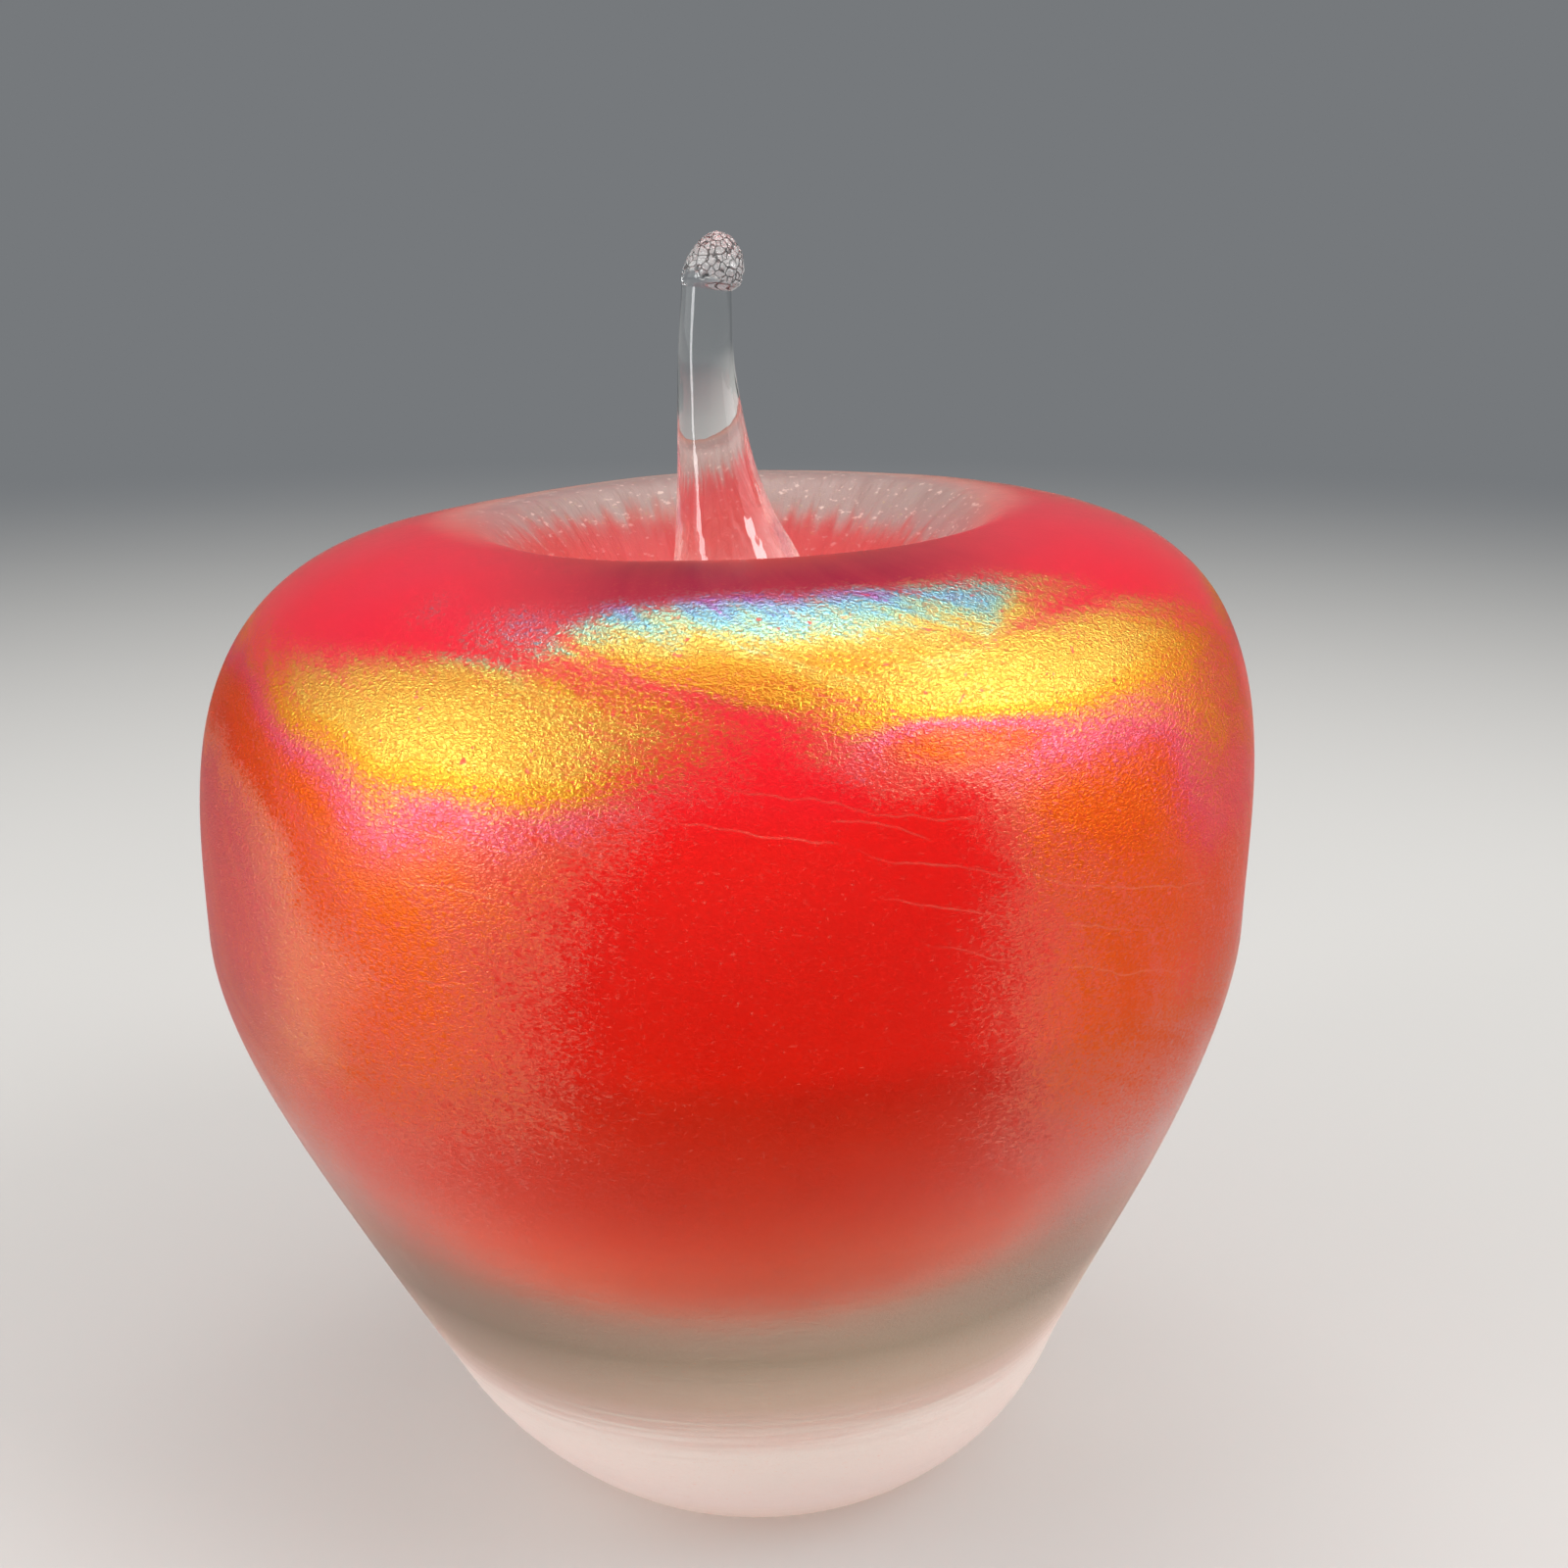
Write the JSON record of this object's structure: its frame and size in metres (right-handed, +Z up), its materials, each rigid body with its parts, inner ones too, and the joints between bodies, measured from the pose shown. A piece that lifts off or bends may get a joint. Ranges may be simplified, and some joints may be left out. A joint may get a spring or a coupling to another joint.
{
  "type": "art glass apple",
  "caption": "Solid glass apple paperweight: clear casing over a red layer and an opal core, dimpled top, ground foot and a clear stem with a crackled tip.",
  "frame": {"origin": "on the table under the middle of the body's widest place, with the ground foot at z = 0", "axes": "+Z up through the stem, +X the way the foot's middle is shifted and the higher side of the lip, -Y the side seen in the picture"},
  "size_m": [0.085, 0.085, 0.1034],
  "materials": {
    "opal_glass": "opaque ivory opal glass",
    "red_glass": "dense ruby red glass",
    "casing_glass": "clear glass with a fumed iridescent lustre and fine orange-peel wrinkles",
    "stem_glass": "clear fire-polished glass",
    "crackled_glass": "frosty crackled glass"
  },
  "bodies": {
    "root": {"opal_core": "opal_glass", "red_overlay": "red_glass", "clear_casing": "casing_glass", "stem": "stem_glass", "stem_tip": "crackled_glass"}
  },
  "joints": []
}
